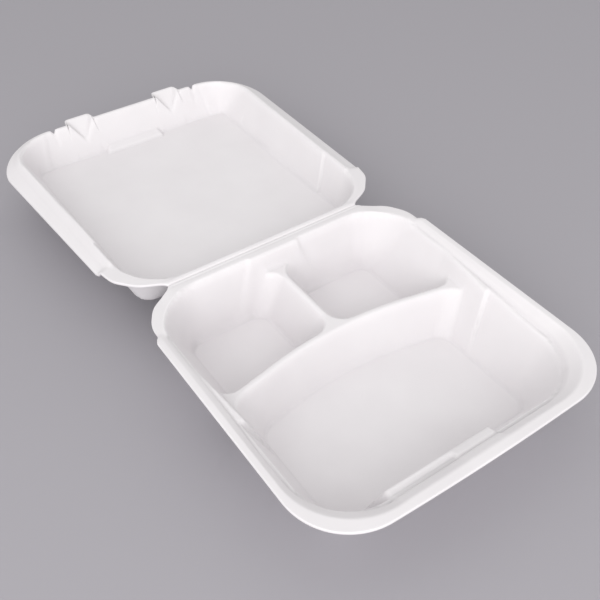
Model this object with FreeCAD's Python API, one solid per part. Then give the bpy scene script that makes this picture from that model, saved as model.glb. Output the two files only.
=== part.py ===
import FreeCAD, Part
import math
import os

# A hinged food container formed from one sheet of foam, lying open and flat.
# All lengths are millimetres. X runs along the hinge, Y from the base to the lid and Z up.
# The base stands on Z = 0. Heights named w are measured from the plane of the base's rim.

os.makedirs("parts", exist_ok=True)
V = FreeCAD.Vector

# the sheet
FOAM = 2.4                  # thickness of the floors, walls and lid
LIP = 2.2                   # thickness of the pressed rims and of the hinge strip
WALL_GROW = 2.65            # level distance between the two faces of a sloping wall
HINGE_GAP = 0.3             # between the two halves along the crease
CUT_PAST = 1.0              # how far a solid that cuts runs past the face it cuts

CENTRE_Y = 7.829            # the crease lies this far behind the middle of the whole

# the base
HINGE_HALF = 84.8           # half the length of the crease
BASE_HALF = 117.5           # half the outer width of the rim
BASE_CORNER_HALF = 113.6    # half the width behind the step in the rim
BASE_FRONT = 239.0          # hinge to the front edge at the corners
BASE_BOW = 3.5              # how far the front edge's middle stands out before rounding
BASE_BOW_R = 2350.0
BASE_CORNER_R = 44.6
BASE_STEP = 41.0            # hinge to the step in the rim
STEP_RUN = 2.0
CORNER_KNEE = 11.0          # the plain corner rim turns this far behind the step
CORNER_IN = 9.6
CORNER_REAR = 14.0
CORNER_R = 26.0
NOTCH_OUT = 1.4             # the small notch at each end of the crease
NOTCH_LONG = 3.2
NOTCH_R = 1.0
STEP_R = 3.0
SIDE_END_R = 5.0            # rounding of the rim's raised side where it ends at the step
FLAT_SIDE = 113.0           # inner edge of the flat lip, at the sides
FLAT_FRONT = 234.5
FLAT_R = 48.0
CREST_SIDE_REAR = 107.2     # top edge of the wall, at the step and at the front
CREST_SIDE_FRONT = 104.0
CREST_FRONT = 224.0
CREST_R = 46.0
CREST_W_REAR = -2.4         # its height, at the step and at the front
CREST_W_FRONT = -10.0
BAND_EXTRA = 0.5            # the sloping band is this much thicker than the lip
NECK_DOWN = 1.0             # level of the sheet that ties the band to the lip

DEPTH = 52.0                # rim to the floors
RIM_Z = DEPTH + FOAM
FLOOR_SIDE = 82.5
FLOOR_FRONT = 202.0
FLOOR_REAR = 15.3
FLOOR_R_FRONT = 28.0
FLOOR_R_REAR = 22.0
SIDE_SLOPE = 0.505          # level run for each unit of height
FRONT_SLOPE = 0.512
REAR_SLOPE = 0.14
CORNER_SLOPE = 0.40

# the dividers
DIVIDER_W = -16.5           # height of their tops
DIVIDER_HALF = 1.8          # half the width of the flat top
DIVIDER_SLOPE = 0.40
ARCH_R = 280.0              # the front divider is arched in plan
ARCH_TANGENT = 58.0
ARCH_MIDDLE = 90.0          # hinge to its middle line
ARCH_SLOPE = 0.295
ARCH_END = 125.0            # the divider's solid runs out past the side walls
DIVIDER_EASE = 1.0          # height of the eased edges of the dividers' tops
RIB_SKIN = 2.5
CHANNEL_HALF = 0.4          # half the width at the top of the channel under a divider
FLOOR_EASE = 2.6            # level run and height of the eased edge round each floor

# swellings formed in the base's walls, each a solid that the hollow goes round
SIDE_SWELL_START = 82.0     # hinge to where a side one begins, flush with the wall
SIDE_SWELL_END = 131.0      # and to where it ends in a step
SIDE_SWELL_START_W = -3.0
SIDE_SWELL_W = -5.5
SIDE_SWELL_HALF = 101.9
SWELL_LEAN = 0.2
SWELL_ROOT = 12.0           # how far its solid reaches back into the wall
SWELL_TUCK = 0.3            # how far its face begins behind the wall's
SWELL_SHIFT = 1.5           # how far the hollow behind a side or front one is moved outward
FRONT_SWELL_LEFT = -63.0
FRONT_SWELL_RIGHT = 20.0
FRONT_SWELL_IN = 5.9
FRONT_SWELL_W = -10.2
REAR_SWELL_HALF = 21.0
REAR_SWELL_FOOT_HALF = 37.8
REAR_SWELL_IN = 5.2
SWELL_END = 2.0             # length of the slope at each end

# the lid
LEDGE_LEFT = -27.0          # the low ledge at the foot of its front wall
LEDGE_RIGHT = 26.0
LEDGE_FRONT = 6.0
LEDGE_LOW = 2.1
LEDGE_HIGH = 5.2
LEDGE_RUN = 2.0             # its top slopes up to this far past the panel's edge
LID_DEPTH = 30.5
PANEL_REAR_HALF = 94.6
PANEL_FRONT_HALF = 97.7
PANEL_REAR = 26.6
PANEL_FRONT = 233.5
PANEL_R_REAR = 24.0
PANEL_R_FRONT = 18.0
LID_TOP_W = 3.0             # height to which the walls' slopes are given
LID_TOP_REAR_HALF = 107.0
LID_TOP_FRONT_HALF = 115.6
LID_TOP_REAR = 2.9
LID_TOP_FRONT = 246.1
LID_TOP_R_REAR = 42.0
LID_TOP_R_FRONT = 40.0
LID_STEP = 43.5
LID_CORNER_HALF = 119.0
LID_CORNER_IN = 16.0
LID_CORNER_REAR = 11.5
LID_KNEE_IN = 3.0
LID_KNEE = 16.5
LID_KNEE_R = 20.0
LID_WALL_TOP = -1.8
LID_CREST_REAR = 107.7      # top edge of its side wall, at the step and where the corner starts
LID_CREST_FRONT = 114.0
LID_CREST_W_REAR = 1.7
LID_CREST_R = 39.0
LID_RIM_REAR = 12.7         # level width of the sloping rim there
LID_RIM_FRONT = 14.8
LID_EDGE_W_REAR = -3.4
LID_EDGE_W_FRONT = -8.9
LID_RIM_NOSE = 2.6          # width of the rim across the front
LID_FRONT_TOP = PANEL_FRONT + (LID_TOP_FRONT - PANEL_FRONT) * LID_DEPTH / (LID_DEPTH + LID_TOP_W)
LID_CORNER_STEPS = 8
LID_CORNER_Y = LID_FRONT_TOP - LID_CREST_R
RIM_ROOT = 4.0              # how far the rim's sections reach in behind the wall's face
RIM_EXTRA = 1.0             # the lid's flat rim is this much thicker than the base's
RIM_ROOT_EXTRA = 1.5
CORNER_OVERLAP = 0.5        # of the front rim's bars and the rim round the corners
NOTCH_X = 71.0              # the two small gaps in the front rim
NOTCH_HALF = 2.0
TAB_X = 44.0
TAB_HALF = 11.5
TAB_APEX_W = -14.5
TAB_APEX_Y = LID_FRONT_TOP - 5.5
TAB_LONG = 12.03            # how far a tab stands out from the top of the front wall
TAB_END = LID_FRONT_TOP + TAB_LONG
TAB_POINT_HALF = 1.0
TAB_FLARE = 2.0             # a tab's wedge is this much wider where it leaves the wall, on each side
TAB_SKIN_DOWN = 4.0         # its outer solid goes this much lower than the recess in it
TAB_SKIN_OUT = 1.5
RECESS_PAST = 0.5           # the recess is cut this far above the rim's plane


def height(w):
    return RIM_Z + w


def offset(corners, distance):
    """The same outline, moved outward by a distance. Corners run anticlockwise as (x, y, radius)."""
    moved = []
    count = len(corners)
    for i in range(count):
        x0, y0, r0 = corners[i - 1]
        x1, y1, r1 = corners[i]
        x2, y2, r2 = corners[(i + 1) % count]
        ax, ay = x1 - x0, y1 - y0
        bx, by = x2 - x1, y2 - y1
        al = math.hypot(ax, ay)
        bl = math.hypot(bx, by)
        nax, nay = ay / al, -ax / al
        nbx, nby = by / bl, -bx / bl
        scale = distance / (1.0 + nax * nbx + nay * nby)
        turn = ax * by - ay * bx
        radius = r1 + distance if turn > 0 else max(r1 - distance, 0.3)
        moved.append((x1 + (nax + nbx) * scale, y1 + (nay + nby) * scale, radius if r1 > 0 else 0.0))
    return moved


def outline(corners, z, shear=0.0, about=0.0):
    """A closed wire through rounded corners at height z. With shear it lies in a plane that rises along Y."""
    ends = []
    count = len(corners)
    for i in range(count):
        x0, y0, r0 = corners[i - 1]
        x1, y1, r1 = corners[i]
        x2, y2, r2 = corners[(i + 1) % count]
        ux, uy = x0 - x1, y0 - y1
        vx, vy = x2 - x1, y2 - y1
        ul = math.hypot(ux, uy)
        vl = math.hypot(vx, vy)
        ux, uy, vx, vy = ux / ul, uy / ul, vx / vl, vy / vl
        if r1 <= 0:
            ends.append((V(x1, y1, z), None, V(x1, y1, z)))
            continue
        half = math.acos(max(-1.0, min(1.0, ux * vx + uy * vy))) / 2.0
        run = r1 / math.tan(half)
        bx, by = ux + vx, uy + vy
        bl = math.hypot(bx, by)
        reach = r1 / math.sin(half) - r1
        first = V(x1 + ux * run, y1 + uy * run, z)
        middle = V(x1 + bx / bl * reach, y1 + by / bl * reach, z)
        last = V(x1 + vx * run, y1 + vy * run, z)
        ends.append((first, middle, last))
    edges = []
    for i in range(count):
        first, middle, last = ends[i]
        if middle is not None:
            edges.append(Part.Arc(first, middle, last).toShape())
        following = ends[(i + 1) % count][0]
        edges.append(Part.makeLine(last, following))
    wire = Part.Wire(edges)
    if shear:
        tilt = FreeCAD.Matrix()
        tilt.A32 = shear
        tilt.A34 = -shear * about
        wire = wire.transformGeometry(tilt)
    return wire


def loft(*wires):
    return Part.makeLoft(list(wires), True, True)


def both_sides(corners):
    """A whole outline from its right half, which runs from the front's middle to the hinge."""
    return corners + [(-x, y, r) for x, y, r in reversed(corners) if x > 0]


def slab(corners, w, thickness):
    return Part.Face(outline(corners, height(w))).extrude(V(0, 0, -thickness))


def base_edge():
    return both_sides([
        (0.0, -BASE_FRONT - BASE_BOW, BASE_BOW_R),
        (BASE_HALF, -BASE_FRONT, BASE_CORNER_R),
        (BASE_HALF, -BASE_STEP - SIDE_END_R, SIDE_END_R),
        (BASE_CORNER_HALF, -BASE_STEP, STEP_R),
        (BASE_CORNER_HALF, -BASE_STEP + CORNER_KNEE, CORNER_R),
        (BASE_CORNER_HALF - CORNER_IN, -CORNER_REAR, CORNER_R),
        (HINGE_HALF + NOTCH_OUT, -NOTCH_LONG, NOTCH_R),
        (HINGE_HALF, -HINGE_GAP / 2.0, 0.0),
    ])


def flat_edge():
    return both_sides([
        (FLAT_SIDE, -FLAT_FRONT, FLAT_R),
        (FLAT_SIDE, -BASE_STEP, STEP_R),
    ])


def crest_edge():
    return both_sides([
        (CREST_SIDE_FRONT, -CREST_FRONT, CREST_R),
        (CREST_SIDE_REAR, -BASE_STEP - STEP_RUN, STEP_R),
    ])


def tub(w):
    """The inside of the base's outer wall at height w."""
    up = w + DEPTH
    side = FLOOR_SIDE + up * SIDE_SLOPE
    front = FLOOR_FRONT + up * FRONT_SLOPE
    rear = FLOOR_REAR - up * REAR_SLOPE
    return both_sides([
        (side, -front, FLOOR_R_FRONT + up * CORNER_SLOPE),
        (side, -rear, FLOOR_R_REAR + up * CORNER_SLOPE),
    ])


def arch(middle, half_length):
    """Two corners of the front divider's arched line: its apex, which is rounded, and its straight end."""
    slope = ARCH_TANGENT / ARCH_R
    apex = -middle + ARCH_TANGENT ** 2 / (2.0 * ARCH_R)
    return apex, apex - slope * half_length


def front_divider(half):
    """The arched divider, cut level where half its width is half."""
    front_apex, front_end = arch(ARCH_MIDDLE + half, ARCH_END)
    rear_apex, rear_end = arch(ARCH_MIDDLE - half, ARCH_END)
    return [
        (-ARCH_END, front_end, 0.0),
        (0.0, front_apex, ARCH_R),
        (ARCH_END, front_end, 0.0),
        (ARCH_END, rear_end, 0.0),
        (0.0, rear_apex, ARCH_R),
        (-ARCH_END, rear_end, 0.0),
    ]


def rear_divider(half):
    return [
        (-half, -ARCH_MIDDLE, 0.0),
        (half, -ARCH_MIDDLE, 0.0),
        (half, 0.0, 0.0),
        (-half, 0.0, 0.0),
    ]


def divider(shape, slope):
    """A divider's own solid, and the channel that it leaves under the sheet."""
    rise = DIVIDER_W + DEPTH
    foot = DIVIDER_HALF + (rise - FLOOR_EASE) * slope
    ridge = loft(
        outline(shape(foot + 2.0 * FLOOR_EASE), height(-DEPTH - FLOOR_EASE)),
        outline(shape(foot), height(FLOOR_EASE - DEPTH)),
        outline(shape(DIVIDER_HALF + DIVIDER_EASE * slope), height(DIVIDER_W - DIVIDER_EASE)),
        outline(shape(DIVIDER_HALF - DIVIDER_EASE * 0.5), height(DIVIDER_W)))
    down = (RIB_SKIN + CHANNEL_HALF - DIVIDER_HALF) / slope
    channel_foot = DIVIDER_HALF + (rise + FOAM) * slope - RIB_SKIN
    channel = loft(
        outline(shape(channel_foot + CUT_PAST * slope), -CUT_PAST),
        outline(shape(CHANNEL_HALF), height(DIVIDER_W - down)))
    return ridge, channel


def tub_solid(grow, floor_z, top_w):
    """The whole tub as a solid: its hollow, or with grow its outer face."""
    foot = offset(tub(FLOOR_EASE - DEPTH), grow)
    return loft(
        outline(offset(foot, -FLOOR_EASE * 1.6 - grow * 0.3), floor_z),
        outline(foot, height(FLOOR_EASE - DEPTH)),
        outline(offset(tub(top_w), grow), height(top_w)))


def prism(sections):
    """A solid through flat sections, each a list of points."""
    return Part.makeLoft([Part.makePolygon(points + points[:1]) for points in sections], True, True)


def side_swell(side):
    sections = []
    start_x = FLOOR_SIDE + (SIDE_SWELL_START_W + DEPTH) * SIDE_SLOPE + SWELL_TUCK
    for y, x, w in ((SIDE_SWELL_START, start_x, SIDE_SWELL_START_W),
                    (SIDE_SWELL_END, SIDE_SWELL_HALF, SIDE_SWELL_W)):
        foot_y = y + SWELL_LEAN * (DEPTH + w)
        sections.append([
            V(side * x, -y, height(w)),
            V(side * (FLOOR_SIDE + SWELL_TUCK), -foot_y, height(-DEPTH)),
            V(side * (FLOOR_SIDE + SWELL_ROOT), -foot_y, height(-DEPTH)),
            V(side * (x + SWELL_ROOT), -y, height(w)),
        ])
    return prism(sections)


def front_swell():
    sections = []
    top_y = FLOOR_FRONT + (FRONT_SWELL_W + DEPTH) * FRONT_SLOPE + SWELL_TUCK
    for x, share in ((FRONT_SWELL_LEFT - SWELL_END, 0.0), (FRONT_SWELL_LEFT + SWELL_END, 1.0),
                     (FRONT_SWELL_RIGHT - SWELL_END, 1.0), (FRONT_SWELL_RIGHT + SWELL_END, 0.0)):
        y = top_y - share * FRONT_SWELL_IN
        sections.append([
            V(x, -y, height(FRONT_SWELL_W)),
            V(x, -FLOOR_FRONT - SWELL_TUCK, height(-DEPTH)),
            V(x, -FLOOR_FRONT - SWELL_ROOT, height(-DEPTH)),
            V(x, -y - SWELL_ROOT, height(FRONT_SWELL_W)),
        ])
    return prism(sections)


def rear_swell():
    """The shallow swelling in the middle of the rear wall, wider at its foot."""
    sections = []
    for w, half in ((0.0, REAR_SWELL_HALF), (-DEPTH, REAR_SWELL_FOOT_HALF)):
        wall = FLOOR_REAR - (w + DEPTH) * REAR_SLOPE
        sections.append([
            V(-half, -wall - REAR_SWELL_IN, height(w)),
            V(half, -wall - REAR_SWELL_IN, height(w)),
            V(half + SWELL_END, -wall + SWELL_ROOT, height(w)),
            V(-half - SWELL_END, -wall + SWELL_ROOT, height(w)),
        ])
    return prism(sections)


def make_base():
    crest_slope = (CREST_W_FRONT - CREST_W_REAR) / (BASE_STEP - CREST_FRONT)
    lip = slab(base_edge(), 0.0, LIP)
    dish = loft(
        outline(crest_edge(), height(CREST_W_REAR), crest_slope, -BASE_STEP),
        outline(flat_edge(), height(0.0)))
    dish_air = slab(flat_edge(), 2.0 * CUT_PAST, 2.0 * CUT_PAST)
    dish_under = dish.copy()
    dish_under.translate(V(0, 0, -LIP - BAND_EXTRA))
    dish_neck = slab(flat_edge(), -NECK_DOWN, LIP)
    skin = tub_solid(WALL_GROW, 0.0, 0.0)
    hollow = tub_solid(0.0, height(-DEPTH), CUT_PAST)
    for shape, slope in ((front_divider, ARCH_SLOPE), (rear_divider, DIVIDER_SLOPE)):
        ridge, channel = divider(shape, slope)
        hollow = hollow.cut(ridge)
        skin = skin.cut(channel)
    for swell, x, y in ((side_swell(1.0), SWELL_SHIFT, FOAM), (side_swell(-1.0), -SWELL_SHIFT, FOAM),
                        (front_swell(), 0.0, -SWELL_SHIFT), (rear_swell(), 0.0, FOAM)):
        hollow = hollow.cut(swell)
        swell.translate(V(x, y, -FOAM))
        skin = skin.cut(swell)
    solid = lip.fuse([dish_under, dish_neck, skin])
    for cut in (dish, dish_air, hollow):
        solid = solid.cut(cut)
    return solid


def lid_tub(w):
    """The inside of the lid's wall at height w."""
    share = (w + LID_DEPTH) / (LID_TOP_W + LID_DEPTH)
    rear_half = PANEL_REAR_HALF + share * (LID_TOP_REAR_HALF - PANEL_REAR_HALF)
    front_half = PANEL_FRONT_HALF + share * (LID_TOP_FRONT_HALF - PANEL_FRONT_HALF)
    rear = PANEL_REAR + share * (LID_TOP_REAR - PANEL_REAR)
    front = PANEL_FRONT + share * (LID_TOP_FRONT - PANEL_FRONT)
    rear_r = PANEL_R_REAR + share * (LID_TOP_R_REAR - PANEL_R_REAR)
    front_r = PANEL_R_FRONT + share * (LID_TOP_R_FRONT - PANEL_R_FRONT)
    return both_sides([(rear_half, rear, rear_r), (front_half, front, front_r)])


def lid_corner():
    """The plain flat rim between the hinge and the steps."""
    return both_sides([
        (HINGE_HALF, HINGE_GAP / 2.0, 0.0),
        (HINGE_HALF + NOTCH_OUT, NOTCH_LONG, NOTCH_R),
        (LID_CORNER_HALF - LID_CORNER_IN, LID_CORNER_REAR, CORNER_R),
        (LID_CORNER_HALF - LID_KNEE_IN, LID_STEP - LID_KNEE, LID_KNEE_R),
        (LID_CORNER_HALF, LID_STEP, 0.0),
    ])


def rim_section(x, y, out_x, out_y, width, top_w, outer_w):
    """The rim cut across at one place: its crest is at (x, y) and it slopes outward along (out_x, out_y)."""
    points = []
    for run, w in ((-RIM_ROOT, top_w), (0.0, top_w), (width, outer_w), (width, outer_w - LIP),
                   (-RIM_ROOT, top_w - LIP - RIM_ROOT_EXTRA)):
        points.append(V(x + out_x * run, y + out_y * run, height(w)))
    return Part.makePolygon(points + points[:1])


def lid_rim(side):
    """The sloping rim along one side and round the front corner."""
    straight = Part.makeLoft([
        rim_section(side * LID_CREST_REAR, LID_STEP, side, 0.0, LID_RIM_REAR, LID_CREST_W_REAR, LID_EDGE_W_REAR),
        rim_section(side * LID_CREST_FRONT, LID_CORNER_Y, side, 0.0, LID_RIM_FRONT, 0.0, LID_EDGE_W_FRONT),
    ], True, True)
    sections = []
    for i in range(LID_CORNER_STEPS + 1):
        turn = i / LID_CORNER_STEPS
        angle = math.radians(90.0 * turn)
        ease = turn * turn * (3.0 - 2.0 * turn)
        width = LID_RIM_FRONT + ease * (LID_RIM_NOSE - LID_RIM_FRONT)
        edge_w = LID_EDGE_W_FRONT * (1.0 - ease)
        x = LID_CREST_FRONT - LID_CREST_R + LID_CREST_R * math.cos(angle)
        y = LID_CORNER_Y + LID_CREST_R * math.sin(angle)
        sections.append(rim_section(side * x, y, side * math.cos(angle), math.sin(angle), width, 0.0, edge_w))
    return [straight, Part.makeLoft(sections, True, True)]


def bar(x0, y0, x1, y1, w, thickness):
    return Part.makeBox(x1 - x0, y1 - y0, thickness, V(x0, y0, height(w - thickness)))


def tab(middle, spread, lower_w, apex_y, top_w, reach):
    """A wedge that widens upward from a point in the front wall to the end of a tab."""
    low = [
        (middle - TAB_POINT_HALF, apex_y - RIM_ROOT, 0.0),
        (middle + TAB_POINT_HALF, apex_y - RIM_ROOT, 0.0),
        (middle + TAB_POINT_HALF, apex_y, 0.0),
        (middle - TAB_POINT_HALF, apex_y, 0.0),
    ]
    high = [
        (middle - spread - TAB_FLARE, LID_FRONT_TOP - RIM_ROOT, 0.0),
        (middle + spread + TAB_FLARE, LID_FRONT_TOP - RIM_ROOT, 0.0),
        (middle + spread, reach, 0.0),
        (middle - spread, reach, 0.0),
    ]
    return loft(outline(low, height(lower_w)), outline(high, height(top_w)))


def make_lid():
    panel = lid_tub(-LID_DEPTH)
    foot = lid_tub(FLOOR_EASE - LID_DEPTH)
    inner = loft(
        outline(offset(panel, -FLOOR_EASE), height(-LID_DEPTH)),
        outline(foot, height(FLOOR_EASE - LID_DEPTH)),
        outline(lid_tub(LID_TOP_W), height(LID_TOP_W)))
    outer = loft(
        outline(offset(panel, -FLOOR_EASE), height(-LID_DEPTH - FOAM)),
        outline(offset(foot, WALL_GROW), height(FLOOR_EASE - LID_DEPTH)),
        outline(offset(lid_tub(LID_WALL_TOP), WALL_GROW), height(LID_WALL_TOP)))
    profile = ((PANEL_FRONT - LEDGE_FRONT, -LID_DEPTH - CUT_PAST), (PANEL_FRONT - LEDGE_FRONT, -LID_DEPTH + LEDGE_LOW),
               (PANEL_FRONT + LEDGE_RUN, -LID_DEPTH + LEDGE_HIGH), (PANEL_FRONT + SWELL_ROOT, -LID_DEPTH + LEDGE_HIGH),
               (PANEL_FRONT + SWELL_ROOT, -LID_DEPTH - CUT_PAST))
    ledge = prism([[V(x, y, height(w)) for y, w in profile] for x in (LEDGE_LEFT, LEDGE_RIGHT)])
    inner = inner.cut(ledge)
    solid = outer.fuse([slab(lid_corner(), 0.0, LIP + RIM_EXTRA)])
    for side in (1.0, -1.0):
        solid = solid.fuse(lid_rim(side))
    solid = solid.fuse(bar(-NOTCH_X + NOTCH_HALF, LID_FRONT_TOP - RIM_ROOT, NOTCH_X - NOTCH_HALF,
                           LID_FRONT_TOP + LID_RIM_NOSE, 0.0, LIP + RIM_EXTRA))
    for side in (1.0, -1.0):
        x0 = side * (NOTCH_X + NOTCH_HALF)
        x1 = side * (LID_CREST_FRONT - LID_CREST_R + CORNER_OVERLAP)
        solid = solid.fuse(bar(min(x0, x1), LID_FRONT_TOP - RIM_ROOT, max(x0, x1),
                               LID_FRONT_TOP + LID_RIM_NOSE, 0.0, LIP + RIM_EXTRA))
        solid = solid.fuse(tab(side * TAB_X, TAB_HALF, TAB_APEX_W - TAB_SKIN_DOWN,
                               TAB_APEX_Y + TAB_SKIN_OUT, 0.0, TAB_END))
    solid = solid.cut(inner)
    for side in (1.0, -1.0):
        solid = solid.cut(tab(side * TAB_X, TAB_HALF - FOAM, TAB_APEX_W, TAB_APEX_Y, RECESS_PAST, TAB_END - FOAM))
    return solid


base = make_base()
lid = make_lid()
for name, shape in (("base", base), ("lid", lid)):
    shape.translate(V(0, -CENTRE_Y, 0))
    shape.exportStep("parts/" + name + ".step")
    print(name, shape.isValid(), len(shape.Solids), round(shape.Volume), shape.CenterOfGravity)
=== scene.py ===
import math
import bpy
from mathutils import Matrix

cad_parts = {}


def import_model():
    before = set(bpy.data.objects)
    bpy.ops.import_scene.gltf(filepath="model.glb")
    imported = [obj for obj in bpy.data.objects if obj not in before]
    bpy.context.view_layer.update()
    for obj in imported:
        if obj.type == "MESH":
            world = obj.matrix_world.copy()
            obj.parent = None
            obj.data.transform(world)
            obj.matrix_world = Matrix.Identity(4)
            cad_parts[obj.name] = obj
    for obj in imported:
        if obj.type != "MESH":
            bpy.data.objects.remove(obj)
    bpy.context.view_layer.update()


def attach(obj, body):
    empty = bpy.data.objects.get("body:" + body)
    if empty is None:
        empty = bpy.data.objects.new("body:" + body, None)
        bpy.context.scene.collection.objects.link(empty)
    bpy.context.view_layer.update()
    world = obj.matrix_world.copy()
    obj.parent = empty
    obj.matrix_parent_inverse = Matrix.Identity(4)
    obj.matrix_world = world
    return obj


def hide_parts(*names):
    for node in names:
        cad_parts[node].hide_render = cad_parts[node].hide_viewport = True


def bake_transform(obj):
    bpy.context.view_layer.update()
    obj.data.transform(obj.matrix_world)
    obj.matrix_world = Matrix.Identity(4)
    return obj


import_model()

import bpy
import numpy as np
from mathutils import Matrix, Vector

# Lengths are in millimetres until world() turns them into metres. X runs along the hinge. The crease is
# y = 0, the base lies at -y and the lid at +y. w is the height above the plane of the base's rim.
# Two values in brackets are those at the start and at the end of what the comment names.
CREASE = 7.829                  # from the middle of the open container to the crease
FOAM = 2.4
WALL_SHARE = 0.96               # a sloping wall's thickness as a share of a floor's
FLAT_NORMAL = 0.97              # a face whose normal rises by more than this counts as floor
DEPTH = 52.0                    # of the base's hollow, below its rim's plane
RIM = DEPTH + FOAM              # from the floor that it stands on to the rim's plane
OUT_OF_SIGHT = -99.0            # a height that no face shows

# widths of the rounded stretch where two faces meet
CRISP = 0.4
EDGE = 0.5
SOFT = 0.6
FLOOR_ROUND = 1.4
DIVIDER_ROUND = 2.0
PANEL_ROUND = 1.2
RECESS_ROUND = 1.6
RECESS_EDGE = 0.8

# the base's outer walls: sizes at the floor, and how far each moves out for each unit of height
FLOOR_HALF = 82.5
FLOOR_FRONT = 202.0
FLOOR_REAR = 16.4
SIDE_RUN = 0.505
FRONT_RUN = 0.512
REAR_RUN = 0.155
FRONT_R = 12.0
FRONT_R_RUN = 0.66
REAR_R = 10.0
REAR_R_RUN = 0.63
WALL_LOW = -85.0                # a wall's height at a point is looked for between these
WALL_HIGH = 30.0
HALVINGS = 26                   # of the stretch in which it is looked for

# the swelling in the middle of the rear wall, from the rim to the foot
REAR_SWELL_LEFT = (22.2, 38.0)
REAR_SWELL_RIGHT = (20.7, 38.0)
REAR_SWELL_OUT = (1.7, 0.8)
REAR_SWELL_SOFT = (2.2, 12.0)
REAR_SWELL_Y = -60.0            # there is none in front of this

# the dividers: the front one is an arch in plan, and the short one runs from it to the rear wall
DIVIDER_W = -16.5
ARCH_Y = -90.0
ARCH_R = 280.0
ARCH_TANGENT = 58.0             # farther out than this it runs straight
ARCH_HALF = 2.2                 # half its width at the top, and how much that grows for each unit down
ARCH_RUN = 0.305
SHORT_HALF = 2.0                # the same of the short one
SHORT_RUN = 0.41
TURN = 14.0                     # corner radius in plan where walls and dividers meet, at the top
TURN_RUN = 0.08                 # it shrinks by this for each unit down, and stays between the next two
TURN_LEAST = 6.0
TURN_MOST = 16.0

# the side swellings: from behind to the front, where each ends in a step
SIDE_SWELL_Y = -82.0
SIDE_SWELL_LONG = 49.0
SIDE_SWELL_STEEP = (1.98, 2.397)
SIDE_SWELL_W = (-3.0, -5.5)
SIDE_SWELL_END_Y = -140.8
SIDE_SWELL_END_STEEP = 4.74
SIDE_SWELL_REACH = -60.0        # there is none behind this

# the front swelling: the top of its left part slopes down outward, and that of its right part up
FRONT_SWELL_FOOT = 202.3
FRONT_SWELL_STEEP = 2.73
FRONT_SWELL_LEFT = -62.0
FRONT_SWELL_LEFT_STEEP = 5.0
FRONT_SWELL_RIGHT = 20.0
FRONT_SWELL_RIGHT_STEEP = 3.0
FRONT_SWELL_END_W = -9.6
FRONT_SWELL_PARTS_X = -15.0
FRONT_SWELL_EDGE = 217.8        # from the hinge to the inner edge of its top
LEFT_TOP_W = -8.2
LEFT_TOP_TILT = -0.4
RIGHT_TOP_W = -9.2
RIGHT_TOP_TILT = 0.35
FRONT_SWELL_LIFT = (1.6, 2.6)   # how much the wall's top edge rises at the left and at the right part
FRONT_SWELL_EASE = 3.0
FRONT_SWELL_MARGIN = 1.0
FRONT_SWELL_REACH = -200.0      # there is none behind this

# the base's sloping band, from the walls' top edge out to the flat lip
STEP_Y = 41.0                   # from the hinge to the step in the rim
CREST_AT = (41, 60, 100, 115, 131, 145, 160, 200, 224, 250)
CREST_W = (-2.6, -3.1, -3.7, -4.5, -5.7, -7.2, -8.3, -9.3, -9.6, -9.6)
CREST_HALF = (107.2, 104.0)     # from the step to the front
LIP_HALF = 113.0
BAND_FRONT = (224.0, 234.5)
BAND_REAR = (43.0, STEP_Y)
BAND_FRONT_R = (46.0, 48.0)
BAND_REAR_R = 3.0
GROOVE_DEPTH = 0.6
GROOVE_DEEPER = 0.2             # for each unit that the top edge lies lower
GROOVE_AT = 0.2                 # place and half width as shares of the band
GROOVE_HALF = 0.11

# beside the hinge the rim lies a little lower
CORNER_DROP = 1.1
CORNER_DROP_W = (-5.0, 3.0)     # where each ease starts, and its length
CORNER_DROP_Y = (-44.0, 1.6)
CORNER_DROP_X = (84.0, 14.0)

# lines along the crease, each a depth, a place and a half width
FOLD_HALF = 86.0
FOLD_EASE = 2.0
BASE_LINES = ((0.75, 0.0, 0.7), (0.45, -3.2, 0.6))
BASE_LINES_REACH = 8.5
LID_LINES = ((0.75, 0.0, 0.7), (-0.3, 3.2, 1.1), (0.3, 5.6, 0.8))
LID_LINES_REACH = 8.0

# the lid's walls, from the panel up to their tops
LID_DEPTH = 30.5
LID_RISE = 33.5
LID_REAR_HALF = (94.6, 107.0)
LID_FRONT_HALF = (97.7, 115.6)
LID_REAR = (26.6, 2.9)
LID_FRONT = (233.5, 246.1)
LID_REAR_R = (11.0, 42.0)
LID_FRONT_R = (9.0, 40.0)
LID_TAPER_START = 26.0
LID_TAPER_LONG = 208.0
LID_LEVELS = (-0.7, 1.4)        # a wall's height at a point is looked for between these shares
CORNER_X = 75.0                 # the centres of its front corners
CORNER_Y = 206.0

# shallow steps in the lid's side walls and near its front corners
SIDE_STEP = 3.4
SIDE_STEP_X = 95.2
SIDE_STEP_Y = 64.6
SIDE_STEP_LEAN = 0.754
SIDE_STEP_SOFT = 1.6
SIDE_STEP_FADE = (80.0, 200.0)
SIDE_STEP_REACH = 88.0          # there is none inside this
FRONT_STEP = 3.0
FRONT_STEP_X = 83.7
FRONT_STEP_Y = 231.5
FRONT_STEP_LEAN = 0.44
FRONT_STEP_SOFT = 1.8
FRONT_STEP_FADE = (86.0, 108.0)
FRONT_STEP_REACH = 200.0        # there is none behind this

# the ledge at the foot of the lid's front wall
LEDGE_FOOT = 227.4
LEDGE_STEEP = 4.0
LEDGE_EDGE = 228.0
LEDGE_W = -28.4
LEDGE_TILT = 0.41
LEDGE_LEFT = -29.9
LEDGE_LEFT_STEEP = 1.2
LEDGE_RIGHT = 26.8
LEDGE_RIGHT_STEEP = 5.0
LEDGE_REACH = 236.5             # there is none in front of this

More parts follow.
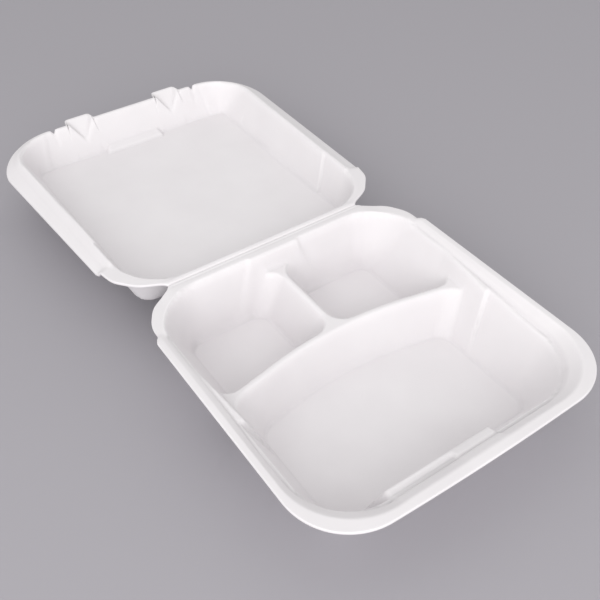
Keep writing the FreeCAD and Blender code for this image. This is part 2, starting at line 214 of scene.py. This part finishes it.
# the lid's sloping rim, from the step near the hinge to the front corners
LID_STEP_Y = 43.2
LID_RIM_START = 43.5
LID_CREST_W = 1.7
LID_RIM_WIDE = (12.7, 14.8)
LID_RIM_DROP = (5.1, 8.9)
LID_RIM_FRONT_WIDE = 2.6
LID_GROOVE_DEPTH = 0.35
LID_GROOVE_OUT = 6.5
LID_GROOVE_HALF = 1.2

# small gaps in the lid's front rim, and the recesses that run up into its tabs
GAP_X = 71.0
GAP_HALF = 1.6
GAP_DEPTH = 3.0
GAP_Y = 238.0
GAP_EASE = 5.0
TAB_X = 44.3
RECESS_W = -16.0
RECESS_Y = 239.0
RECESS_STEEP = 1.026
RECESS_SIDE_STEEP = 1.4
RECESS_HALF = 12.5
RECESS_REACH = 236.0            # there is none behind this

# outlines seen from above
SHARP = 0.05                    # a corner with a smaller radius stays sharp
ARC_STEP = 0.6                  # length of the pieces that an arc is made of
HINGE_END = 84.8                # half the length of the hinge
HINGE_GAP = 0.16                # from the crease to either half
NOTCH_X = 86.2                  # the notch at each end of the crease
NOTCH_Y = 3.2
NOTCH_R = 1.0
BASE_HALF = 117.5
BASE_FRONT = 239.0
BASE_BULGE = 3.5                # how far out the front edge's middle corner lies before it is rounded
STEP_IN = 3.9                   # each side of the rim is this much narrower behind the step
FRONT_EDGE = 247.5              # of the lid, without its tabs
CORNER_ARC = 39.0
RIM_OUT = (14.6, 2.5)           # how far the rim stands out round the corner, from side to front
TAB_END = 256.8

# the skins
BASE_GRID = (95.0, -214.0, -22.5)    # half width and both ends of the grid in the middle
LID_GRID = (90.0, 31.0, 227.0)
CELL = 1.25                     # size of that grid's cells
RINGS = 23                      # rows of cells from there to the outline
CROWDING = 1.35                 # above 1, the rows lie closer together near the outline
FAN = 24.0                      # the rows spread from points this far inside the middle's edge
RIM_THICK = 1.7
RIM_EASE = 0.35                 # the upper side is this much lower at the very edge
EVEN_ROUNDS = 8
BASE_LOWEST = -RIM + 0.02       # the lower face goes no lower than this
LID_LOWEST = -60.0
FOLLOW_FRONT = (-195.0, 60.0)   # the rows follow the arch between these, with eases this long
FOLLOW_REAR = (-30.0, 45.0)
STRIP_HALF = 84.4               # half the length of the strip along the crease, and its cuts
STRIP_CUTS = 60


def world(p):
    return np.column_stack([p[:, 0], p[:, 1] - CREASE, p[:, 2] + RIM]) / 1000.0


def lerp(a, b, t):
    return a + (b - a) * t


def step01(t):
    t = np.clip(t, 0.0, 1.0)
    return t * t * (3.0 - 2.0 * t)


def ease(v, start, run):
    """0 before the start and 1 once the run is over."""
    return step01((v - start) / run)


def fade(v, start, end):
    """1 before the start and 0 past the end."""
    return 1.0 - ease(v, start, end - start)


def bell(t):
    return np.exp(-t ** 2)


def smax(a, b, k):
    """The greater of two heights, with the corner between them rounded."""
    h = np.clip(0.5 + 0.5 * (a - b) / k, 0.0, 1.0)
    return lerp(b, a, h) + k * h * (1.0 - h) * 0.5


def smin(a, b, k):
    return -smax(-a, -b, k)


def rounded_box(x, y, half, y0, y1, r0, r1):
    """Signed distance to a rectangle |x| < half, y0 < y < y1 with rounded corners."""
    r = np.where(y > (y0 + y1) / 2.0, r1, r0)
    qx = np.abs(x) - (half - r)
    qy = np.abs(y - (y0 + y1) / 2.0) - ((y1 - y0) / 2.0 - r)
    return np.hypot(np.maximum(qx, 0), np.maximum(qy, 0)) + np.minimum(np.maximum(qx, qy), 0) - r


def solve(distance, low, high, x):
    """The level at which an outline that grows with it passes through each point."""
    a = np.full_like(x, low)
    b = np.full_like(x, high)
    for _ in range(HALVINGS):
        m = (a + b) / 2.0
        outside = distance(m) > 0
        a = np.where(outside, m, a)
        b = np.where(outside, b, m)
    return (a + b) / 2.0


def fold_lines(x, y, lines, reach):
    """How deep the lines along the crease are at each point; a ridge has a depth below zero."""
    depth = sum(deep * bell((y - at) / half) for deep, at, half in lines)
    return depth * step01((FOLD_HALF - np.abs(x)) / FOLD_EASE) * (np.abs(y) < reach)


# the base's upper face

def rear_swelling(x, w):
    """How far the middle of the rear wall stands forward: less, and with softer ends, towards its foot."""
    down = np.clip(-w / DEPTH, 0.0, 1.0)
    soft = lerp(*REAR_SWELL_SOFT, down)
    left = step01((x + lerp(*REAR_SWELL_LEFT, down)) / soft + 0.5)
    right = step01((lerp(*REAR_SWELL_RIGHT, down) - x) / soft + 0.5)
    return lerp(*REAR_SWELL_OUT, down) * left * right


def tub_distance(x, y, w):
    """Signed distance to the outline of the base's hollow at height w."""
    up = w + DEPTH
    y = y + rear_swelling(x, w) * (y > REAR_SWELL_Y)
    return rounded_box(x, y, FLOOR_HALF + up * SIDE_RUN, -(FLOOR_FRONT + up * FRONT_RUN),
                       -(FLOOR_REAR - up * REAR_RUN), FRONT_R + up * FRONT_R_RUN, REAR_R + up * REAR_R_RUN)


def inner_corner(a, b, r):
    """The distance to the nearer of two walls, with the corner between them rounded."""
    both = np.maximum(r - a, 0.0) ** 2 + np.maximum(r - b, 0.0) ** 2
    return np.minimum(np.minimum(a, b), r - np.sqrt(both))


def arch_y(x):
    """The middle line of the front divider."""
    reach = np.minimum(np.abs(x), ARCH_TANGENT)
    return ARCH_Y - reach ** 2 / (2.0 * ARCH_R) - (np.abs(x) - reach) * ARCH_TANGENT / ARCH_R


def compartments(x, y):
    """The walls of the three compartments, without a floor and without tops to the dividers."""
    middle_y = arch_y(x)
    across = np.abs(y - middle_y) * np.cos(np.minimum(np.abs(x), ARCH_TANGENT) / ARCH_R)
    behind = y > middle_y

    def outside(w):
        down = DIVIDER_W - w
        outer = -tub_distance(x, y, w)
        arch = across - (ARCH_HALF + down * ARCH_RUN)
        short = np.abs(x) - (SHORT_HALF + down * SHORT_RUN)
        turn = np.clip(TURN - down * TURN_RUN, TURN_LEAST, TURN_MOST)
        nearest = inner_corner(outer, arch, turn)
        return -np.where(behind, inner_corner(nearest, short, turn), nearest)
    return solve(outside, WALL_LOW, WALL_HIGH, x)


def side_swellings(x, y):
    along = np.clip((SIDE_SWELL_Y - y) / SIDE_SWELL_LONG, 0.0, 1.0)
    face = -DEPTH + (np.abs(x) - FLOOR_HALF) * lerp(*SIDE_SWELL_STEEP, along)
    end = -DEPTH + (y - SIDE_SWELL_END_Y) * SIDE_SWELL_END_STEEP
    swelling = smin(smin(face, lerp(*SIDE_SWELL_W, along), CRISP), end, CRISP)
    return np.where(y < SIDE_SWELL_REACH, swelling, OUT_OF_SIGHT)


def right_part(x):
    """0 at the front swelling's left part and 1 at its right part."""
    return ease(x, FRONT_SWELL_PARTS_X, FRONT_SWELL_EASE)


def front_swelling(x, y):
    face = -DEPTH + (-y - FRONT_SWELL_FOOT) * FRONT_SWELL_STEEP
    left = FRONT_SWELL_END_W - (FRONT_SWELL_LEFT - x) * FRONT_SWELL_LEFT_STEEP
    right = FRONT_SWELL_END_W - (x - FRONT_SWELL_RIGHT) * FRONT_SWELL_RIGHT_STEEP
    outward = -y - FRONT_SWELL_EDGE
    top = lerp(LEFT_TOP_W + outward * LEFT_TOP_TILT, RIGHT_TOP_W + outward * RIGHT_TOP_TILT, right_part(x))
    return smin(smin(smin(face, top, CRISP), left, EDGE), right, EDGE)


def sloping_band(x, y):
    """From the top edge of the base's walls out to the flat lip, with a shallow groove along that edge."""
    start = step01((x - FRONT_SWELL_LEFT + FRONT_SWELL_MARGIN) / FRONT_SWELL_EASE)
    stop = step01((FRONT_SWELL_RIGHT + FRONT_SWELL_MARGIN - x) / FRONT_SWELL_EASE)
    at_swelling = start * stop * (y < FRONT_SWELL_REACH)
    crest_w = np.interp(-y, CREST_AT, CREST_W) + at_swelling * lerp(*FRONT_SWELL_LIFT, right_part(x))
    along = np.clip((-STEP_Y - y) / (BAND_FRONT[0] - STEP_Y), 0.0, 1.0)

    def distance(t):
        half = lerp(lerp(*CREST_HALF, along), LIP_HALF, t)
        return rounded_box(x, y, half, -lerp(*BAND_FRONT, t), -lerp(*BAND_REAR, t),
                           lerp(*BAND_FRONT_R, t), BAND_REAR_R + 0 * t)
    t = solve(distance, 0.0, 1.0, x)
    groove = (GROOVE_DEPTH - GROOVE_DEEPER * crest_w) * bell((t - GROOVE_AT) / GROOVE_HALF)
    return crest_w * (1.0 - t) - groove


def base_height(x, y):
    wall = solve(lambda w: tub_distance(x, y, w), WALL_LOW, WALL_HIGH, x)
    pocket = compartments(x, y)
    for swelling in (side_swellings(x, y), front_swelling(x, y)):
        wall = smax(wall, swelling, SOFT)
        pocket = smax(pocket, swelling, SOFT)
    pocket = smax(pocket, -DEPTH + 0 * x, FLOOR_ROUND)
    divider_top = smax(DIVIDER_W + 0 * x, wall, DIVIDER_ROUND)
    hollow = smin(pocket, divider_top, EDGE)
    z = smin(smin(hollow, sloping_band(x, y), EDGE), 0 * x, CRISP)
    drop = CORNER_DROP * ease(z, *CORNER_DROP_W) * ease(y, *CORNER_DROP_Y) * ease(np.abs(x), *CORNER_DROP_X)
    return z - drop - fold_lines(x, y, BASE_LINES, BASE_LINES_REACH)


# the lid's upper face

def lid_distance(x, y, t):
    """Signed distance to the outline of the lid's hollow, at a share t of the way up its walls."""
    along = np.clip((y - LID_TAPER_START) / LID_TAPER_LONG, 0.0, 1.0)
    panel_half = lerp(LID_REAR_HALF[0], LID_FRONT_HALF[0], along)
    top_half = lerp(LID_REAR_HALF[1], LID_FRONT_HALF[1], along)
    return rounded_box(x, y, lerp(panel_half, top_half, t), lerp(*LID_REAR, t), lerp(*LID_FRONT, t),
                       lerp(*LID_REAR_R, t), lerp(*LID_FRONT_R, t))


def turn_share(x, y):
    """0 beside the lid, 1 in front of it, and between them round its front corners."""
    angle = np.arctan2(np.maximum(y - CORNER_Y, 0.0), np.maximum(np.abs(x) - CORNER_X, 1e-6))
    return step01(angle / (math.pi / 2.0))


def wall_steps(x, y):
    """How much the shallow steps raise the lid's side walls and the ends of its front wall."""
    line = SIDE_STEP_Y + (np.abs(x) - SIDE_STEP_X) * SIDE_STEP_LEAN
    side = SIDE_STEP * fade(y, *SIDE_STEP_FADE) * ease(y, line, SIDE_STEP_SOFT)
    line = FRONT_STEP_X - (y - FRONT_STEP_Y) * FRONT_STEP_LEAN
    front = FRONT_STEP * fade(np.abs(x), *FRONT_STEP_FADE) * ease(np.abs(x), line, FRONT_STEP_SOFT)
    return side * (np.abs(x) > SIDE_STEP_REACH) + front * (y > FRONT_STEP_REACH)


def front_ledge(x, y):
    face = -LID_DEPTH + (y - LEDGE_FOOT) * LEDGE_STEEP
    top = LEDGE_W + (y - LEDGE_EDGE) * LEDGE_TILT
    left = -LID_DEPTH + (x - LEDGE_LEFT) * LEDGE_LEFT_STEEP
    right = -LID_DEPTH + (LEDGE_RIGHT - x) * LEDGE_RIGHT_STEEP
    ledge = smin(smin(smin(face, top, SOFT), left, SOFT), right, SOFT)
    return np.where(y < LEDGE_REACH, ledge, OUT_OF_SIGHT)


def lid_rim(x, y):
    """Level near the hinge and across the front; between the step and the front it slopes down outward."""
    ahead = y > LID_STEP_Y
    fall = LID_CREST_W * (CORNER_Y - y) / (CORNER_Y - LID_RIM_START)
    crest_w = np.where(ahead, np.clip(fall, 0.0, LID_CREST_W), 0.0)
    out = lid_distance(x, y, (crest_w + LID_DEPTH) / LID_RISE)
    share = turn_share(x, y)
    width = lerp(np.interp(y, [LID_RIM_START, CORNER_Y], LID_RIM_WIDE), LID_RIM_FRONT_WIDE, share)
    drop = np.interp(y, [LID_RIM_START, CORNER_Y], LID_RIM_DROP) * (1.0 - share)
    slope = np.where(ahead, drop / width, 0.0)
    groove = LID_GROOVE_DEPTH * bell((out - LID_GROOVE_OUT) / LID_GROOVE_HALF) * (1.0 - share)
    return crest_w - np.maximum(out, 0.0) * slope - np.where(ahead, groove, 0.0)


def lid_height(x, y):
    share = solve(lambda t: lid_distance(x, y, t), *LID_LEVELS, x)
    wall = -LID_DEPTH + share * LID_RISE + wall_steps(x, y)
    wall = smax(wall, front_ledge(x, y), EDGE)
    z = smax(wall, -LID_DEPTH + 0 * x, PANEL_ROUND)
    z = smin(z, lid_rim(x, y), EDGE)
    gap = bell((np.abs(x) - GAP_X) / GAP_HALF) * (y > GAP_Y)
    z = z - GAP_DEPTH * gap * ease(y, GAP_Y, GAP_EASE)
    off = np.abs(np.abs(x) - TAB_X)
    recess = smax(RECESS_W + (y - RECESS_Y) * RECESS_STEEP, RECESS_W + off * RECESS_SIDE_STEEP, RECESS_ROUND)
    z = np.where((y > RECESS_REACH) & (off < RECESS_HALF), smin(z, recess, RECESS_EDGE), z)
    return z - fold_lines(x, y, LID_LINES, LID_LINES_REACH)


# outlines seen from above

def rounded(corners):
    """A closed polyline through rounded corners, each (x, y, radius)."""
    out = []
    n = len(corners)
    for i in range(n):
        p0, p1, p2 = (np.array(corners[j % n][:2], float) for j in (i - 1, i, i + 1))
        r = corners[i][2]
        if r < SHARP:
            out.append(p1)
            continue
        u = (p0 - p1) / np.linalg.norm(p0 - p1)
        v = (p2 - p1) / np.linalg.norm(p2 - p1)
        half = math.acos(max(-1.0, min(1.0, float(u @ v)))) / 2.0
        run = r / math.tan(half)
        mid = (u + v) / np.linalg.norm(u + v)
        centre = p1 + mid * r / math.sin(half)
        a = p1 + u * run - centre
        b = p1 + v * run - centre
        a0 = math.atan2(a[1], a[0])
        d = (math.atan2(b[1], b[0]) - a0 + math.pi) % (2.0 * math.pi) - math.pi
        count = max(3, int(abs(d) * r / ARC_STEP))
        for k in range(count + 1):
            q = a0 + d * k / count
            out.append(centre + r * np.array([math.cos(q), math.sin(q)]))
    return np.array(out)


def both_sides(corners):
    """The right half's corners, and then the left half's in the order that closes the outline."""
    return corners + [(-x, y, r) for x, y, r in reversed(corners) if x > 0]


def about(middle, corners):
    """Corners outside a middle line and then inside it; each is given by its distance, y and radius."""
    outer = [(middle + d, y, r) for d, y, r in corners]
    return outer + [(middle - d, y, r) for d, y, r in reversed(corners)]


def base_outline():
    return rounded(both_sides([
        (0.0, -BASE_FRONT - BASE_BULGE, 2350.0), (BASE_HALF, -BASE_FRONT, 44.6),
        (BASE_HALF, -STEP_Y - 5.0, 5.0), (BASE_HALF - STEP_IN, -STEP_Y, 3.0),
        (BASE_HALF - STEP_IN, -30.0, 26.0), (104.0, -14.0, 26.0),
        (NOTCH_X, -NOTCH_Y, NOTCH_R), (HINGE_END, -HINGE_GAP, 0.0)]))


def lid_outline():
    right = [(HINGE_END, HINGE_GAP, 0.0), (NOTCH_X, NOTCH_Y, NOTCH_R), (103.0, 11.5, 26.0),
             (116.0, 27.0, 20.0), (119.0, 43.0, 0.5), (120.3, 43.6, 0.5)]
    count = 40
    for i in range(count + 1):
        angle = math.pi / 2.0 * i / count
        reach = CORNER_ARC + lerp(*RIM_OUT, float(step01(np.array(i / count))))
        right.append((CORNER_X + reach * math.cos(angle), CORNER_Y + reach * math.sin(angle), 0.0))
    right += about(GAP_X, [(2.4, FRONT_EDGE, 1.0), (0.6, FRONT_EDGE - 2.3, 1.0)])
    right += about(TAB_X, [(12.9, FRONT_EDGE, 1.5), (11.9, TAB_END - 1.8, 1.0), (10.1, TAB_END, 1.0)])
    return rounded(both_sides(right))


def ray_out(origins, directions, loop):
    """Where each ray first meets the closed polyline."""
    e = np.roll(loop, -1, axis=0) - loop
    best = np.full(len(origins), 1e9)
    for i in range(len(loop)):
        cross = directions[:, 0] * e[i, 1] - directions[:, 1] * e[i, 0]
        cross = np.where(np.abs(cross) < 1e-12, 1e-12, cross)
        d = loop[i] - origins
        t = (d[:, 0] * e[i, 1] - d[:, 1] * e[i, 0]) / cross
        s = (d[:, 0] * directions[:, 1] - d[:, 1] * directions[:, 0]) / cross
        good = (t > 1e-6) & (s >= -1e-9) & (s <= 1 + 1e-9)
        best = np.where(good & (t < best), t, best)
    return origins + directions * best[:, None]


# the two skins

def plan(half, y0, y1, outline, warp):
    """Points, cells and edge points seen from above: a grid in the middle, then rings to the outline."""
    nx = int(round(2.0 * half / CELL))
    ny = int(round((y1 - y0) / CELL))
    gx, gy = np.meshgrid(np.linspace(-half, half, nx + 1), np.linspace(y0, y1, ny + 1), indexing="ij")
    gy = gy + warp(gx, gy)
    index = np.arange((nx + 1) * (ny + 1)).reshape(nx + 1, ny + 1)
    points = [np.column_stack([gx.ravel(), gy.ravel()])]
    quads = [np.column_stack([index[:-1, :-1].ravel(), index[1:, :-1].ravel(),
                              index[1:, 1:].ravel(), index[:-1, 1:].ravel()])]
    last = np.concatenate([index[:-1, 0], index[-1, :-1], index[:0:-1, -1], index[0, :0:-1]])
    inner = points[0][last]
    pin = np.column_stack([np.clip(inner[:, 0], -half + FAN, half - FAN),
                           np.clip(inner[:, 1], y0 + FAN, y1 - FAN)])
    way = inner - pin
    way /= np.linalg.norm(way, axis=1)[:, None]
    outer = ray_out(inner, way, outline)
    count = len(last)
    start = len(points[0])
    for t in 1.0 - (1.0 - np.linspace(0.0, 1.0, RINGS + 1)[1:]) ** CROWDING:
        points.append(lerp(inner, outer, t))
        now = np.arange(start, start + count)
        quads.append(np.column_stack([last, now, np.roll(now, -1), np.roll(last, -1)]))
        last = now
        start += count
    return np.concatenate(points), np.concatenate(quads), last


def gathered(per_quad, quads, count):
    """For each point the sum of the vectors of its quads, brought to length 1."""
    n = np.zeros((count, 3))
    for i in range(4):
        np.add.at(n, quads[:, i], per_quad)
    return n / np.linalg.norm(n, axis=1)[:, None]


def add_object(name, verts, faces):
    mesh = bpy.data.meshes.new(name)
    mesh.from_pydata(world(verts).tolist(), [], faces)
    mesh.update()
    obj = bpy.data.objects.new(name, mesh)
    bpy.context.scene.collection.objects.link(obj)
    return obj


def shell(name, half, y0, y1, outline, height, warp, lowest):
    """One half of the container as a closed skin: its upper face follows height, its lower is parallel."""
    points, quads, edge = plan(half, y0, y1, outline, warp)
    top = np.column_stack([points, height(points[:, 0], points[:, 1])])
    total = len(top)
    a, b, c, d = (top[quads[:, i]] for i in range(4))
    n = gathered(np.cross(c - a, d - b), quads, total)
    thick = np.where(n[:, 2] > FLAT_NORMAL, FOAM, FOAM * WALL_SHARE)
    # evened out, so that the lower face doesn't fold over itself under small details
    for _ in range(EVEN_ROUNDS):
        n = gathered(n[quads].sum(axis=1), quads, total)
    low = top - n * thick[:, None]
    low[edge, :2] = top[edge, :2]
    low[edge, 2] = top[edge, 2] - RIM_THICK
    top[edge, 2] -= RIM_EASE
    low[:, 2] = np.maximum(low[:, 2], lowest)
    side = lerp(top[edge], low[edge], 0.5)
    halfway = np.arange(2 * total, 2 * total + len(edge))
    under = edge + total
    faces = np.concatenate([
        quads, quads[:, ::-1] + total,
        np.column_stack([edge, halfway, np.roll(halfway, -1), np.roll(edge, -1)]),
        np.column_stack([halfway, under, np.roll(under, -1), np.roll(halfway, -1)])])
    obj = add_object(name, np.concatenate([top, low, side]), faces.tolist())
    for p in obj.data.polygons:
        p.use_smooth = True
    return obj


def follow_arch(gx, gy):
    """Moves the rows near the front divider along with its arch."""
    weight = ease(gy, *FOLLOW_FRONT) * step01((FOLLOW_REAR[0] - gy) / FOLLOW_REAR[1])
    return (arch_y(gx) - ARCH_Y) * weight


def straight(gx, gy):
    return 0.0 * gx


base = shell("base_foam", *BASE_GRID, base_outline(), base_height, follow_arch, BASE_LOWEST)
lid = shell("lid_foam", *LID_GRID, lid_outline(), lid_height, straight, LID_LOWEST)


def fold():
    """The thin strip of sheet that joins the two halves along the crease."""
    xs = np.linspace(-STRIP_HALF, STRIP_HALF, STRIP_CUTS)
    profile = [(-0.9, -0.95), (-0.4, -0.85), (0.0, -0.9), (0.4, -0.85), (0.9, -0.95),
               (0.9, -1.75), (0.0, -1.8), (-0.9, -1.75)]
    verts = np.array([(x, y, w) for x in xs for y, w in profile])
    m = len(profile)
    faces = []
    for i in range(len(xs) - 1):
        for k in range(m):
            faces.append((i * m + k, (i + 1) * m + k, (i + 1) * m + (k + 1) % m, i * m + (k + 1) % m))
    faces.append(tuple(range(m)))
    faces.append(tuple(range(len(xs) * m - 1, (len(xs) - 1) * m - 1, -1)))
    return add_object("fold_foam", verts, faces)


crease = fold()
bpy.context.view_layer.update()


# materials

FOAM_DARK = (0.778, 0.751, 0.764)
FOAM_LIGHT = (0.802, 0.777, 0.789)
# painted light on the foam, by pointiness: painted shade in inner corners, neutral on flat foam, painted
# highlight on convex edges
CORNER_SHADE_TINT = (0.95, 0.945, 0.95)
FLAT_TINT = (1.0, 1.0, 1.0)
EDGE_HIGHLIGHT_TINT = (1.055, 1.055, 1.055)
FLOOR_COLOUR = (0.392, 0.377, 0.405)
BUMP_HEIGHT = 0.0002            # in metres


def ramp(nodes, stops):
    """A colour ramp through stops, each a position and a colour."""
    node = nodes.new("ShaderNodeValToRGB")
    elements = node.color_ramp.elements
    elements[0].position = stops[0][0]
    elements[1].position = stops[-1][0]
    for position, _ in stops[1:-1]:
        elements.new(position)
    for element, (_, colour) in zip(elements, stops):
        element.color = colour + (1.0,)
    return node


def foam_material(name):
    mat = bpy.data.materials.new(name)
    mat.use_nodes = True
    nodes = mat.node_tree.nodes
    links = mat.node_tree.links
    shader = nodes["Principled BSDF"]
    where = nodes.new("ShaderNodeTexCoord")

    def texture(kind, scale):
        node = nodes.new(kind)
        node.inputs["Scale"].default_value = scale
        links.new(where.outputs["Object"], node.inputs["Vector"])
        return node

    def bump(height, strength):
        node = nodes.new("ShaderNodeBump")
        node.inputs["Strength"].default_value = strength
        node.inputs["Distance"].default_value = BUMP_HEIGHT
        links.new(height, node.inputs["Height"])
        return node

    cells = texture("ShaderNodeTexVoronoi", 620.0)
    cells.feature = "DISTANCE_TO_EDGE"
    cloud = texture("ShaderNodeTexNoise", 26.0)
    cloud.inputs["Detail"].default_value = 3.0
    fine = texture("ShaderNodeTexNoise", 900.0)
    fine.inputs["Detail"].default_value = 2.0
    tone = ramp(nodes, [(0.3, FOAM_DARK), (0.7, FOAM_LIGHT)])
    links.new(cloud.outputs["Fac"], tone.inputs["Fac"])
    # painted highlight and painted shade, chosen by pointiness: the convex edges are a little lighter than
    # the flat foam, and the inner corners a little darker
    shape = nodes.new("ShaderNodeNewGeometry")
    painted_light_ramp = ramp(nodes, [(0.44, CORNER_SHADE_TINT), (0.5, FLAT_TINT), (0.56, EDGE_HIGHLIGHT_TINT)])
    links.new(shape.outputs["Pointiness"], painted_light_ramp.inputs["Fac"])
    both = nodes.new("ShaderNodeVectorMath")
    both.operation = "MULTIPLY"
    links.new(tone.outputs["Color"], both.inputs[0])
    links.new(painted_light_ramp.outputs["Color"], both.inputs[1])
    links.new(both.outputs["Vector"], shader.inputs["Base Color"])
    shader.inputs["Roughness"].default_value = 0.62
    shader.inputs["IOR"].default_value = 1.42
    shader.inputs["Specular IOR Level"].default_value = 0.35
    coarse_bump = bump(cells.outputs["Distance"], 0.10)
    fine_bump = bump(fine.outputs["Fac"], 0.12)
    links.new(coarse_bump.outputs["Normal"], fine_bump.inputs["Normal"])
    links.new(fine_bump.outputs["Normal"], shader.inputs["Normal"])
    return mat


foam = foam_material("foam")
for obj in (base, lid, crease):
    obj.data.materials.append(foam)

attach(base, "base")
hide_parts("base")
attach(lid, "lid")
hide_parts("lid")
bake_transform(crease)


# floor, light and camera; the floor and the lights are in metres

def floor():
    mesh = bpy.data.meshes.new("floor")
    half = 6.0
    corners = [(-half, -half, 0), (half, -half, 0), (half, half, 0), (-half, half, 0)]
    mesh.from_pydata(corners, [], [(0, 1, 2, 3)])
    obj = bpy.data.objects.new("floor", mesh)
    obj.location = (0.0, 0.0, -0.0002)
    bpy.context.scene.collection.objects.link(obj)
    mat = bpy.data.materials.new("floor")
    mat.use_nodes = True
    shader = mat.node_tree.nodes["Principled BSDF"]
    shader.inputs["Base Color"].default_value = FLOOR_COLOUR + (1.0,)
    shader.inputs["Roughness"].default_value = 0.85
    shader.inputs["Specular IOR Level"].default_value = 0.2
    mesh.materials.append(mat)
    return obj


floor()


def area(name, place, aim, size, power):
    light = bpy.data.lights.new(name, "AREA")
    light.shape = "RECTANGLE"
    light.size = size[0]
    light.size_y = size[1]
    light.energy = power
    obj = bpy.data.objects.new(name, light)
    obj.location = place
    obj.rotation_euler = (Vector(aim) - Vector(place)).to_track_quat("-Z", "Y").to_euler()
    bpy.context.scene.collection.objects.link(obj)
    return obj


area("key", place=(-0.95, -1.32, 0.80), aim=(0.0, -0.05, 0.0), size=(2.05, 1.6), power=24.6)
area("top", place=(0.4, 0.6, 2.4), aim=(0.0, 0.0, 0.0), size=(2.4, 2.4), power=3.5)

sky = bpy.data.worlds.new("sky")
bpy.context.scene.world = sky
sky.use_nodes = True
sky.node_tree.nodes["Background"].inputs["Color"].default_value = (1.0, 1.0, 1.0, 1.0)
sky.node_tree.nodes["Background"].inputs["Strength"].default_value = 0.74

# the camera looks at the target from the azimuth AZ and the elevation EL
AZ = math.radians(-34.362)
EL = math.radians(42.974)
ROLL = math.radians(-0.486)
DISTANCE = 569.016
TARGET = (-16.057, -66.908, 0.0)
SENSOR = 36.0
PICTURE_PIXELS = 600.0          # width of the picture, and the focal length in the same pixels
FOCAL_PIXELS = 813.936
back = Vector((math.sin(AZ) * math.cos(EL), -math.cos(AZ) * math.cos(EL), math.sin(EL)))
level = Vector((math.cos(AZ), math.sin(AZ), 0.0))
upward = back.cross(level)
right = level * math.cos(ROLL) + upward * math.sin(ROLL)
up = upward * math.cos(ROLL) - level * math.sin(ROLL)
place = Vector((TARGET[0], TARGET[1] - CREASE, TARGET[2] + RIM)) + back * DISTANCE
camera = bpy.data.cameras.new("camera")
camera.sensor_width = SENSOR
camera.lens = FOCAL_PIXELS * SENSOR / PICTURE_PIXELS
camera.clip_start = 0.01
camera.clip_end = 50.0
eye = bpy.data.objects.new("camera", camera)
eye.matrix_world = Matrix((
    (right.x, up.x, back.x, place.x / 1000.0),
    (right.y, up.y, back.y, place.y / 1000.0),
    (right.z, up.z, back.z, place.z / 1000.0),
    (0.0, 0.0, 0.0, 1.0)))
bpy.context.scene.collection.objects.link(eye)
bpy.context.scene.camera = eye
bpy.context.scene.view_settings.view_transform = "Standard"

bpy.context.view_layer.update()
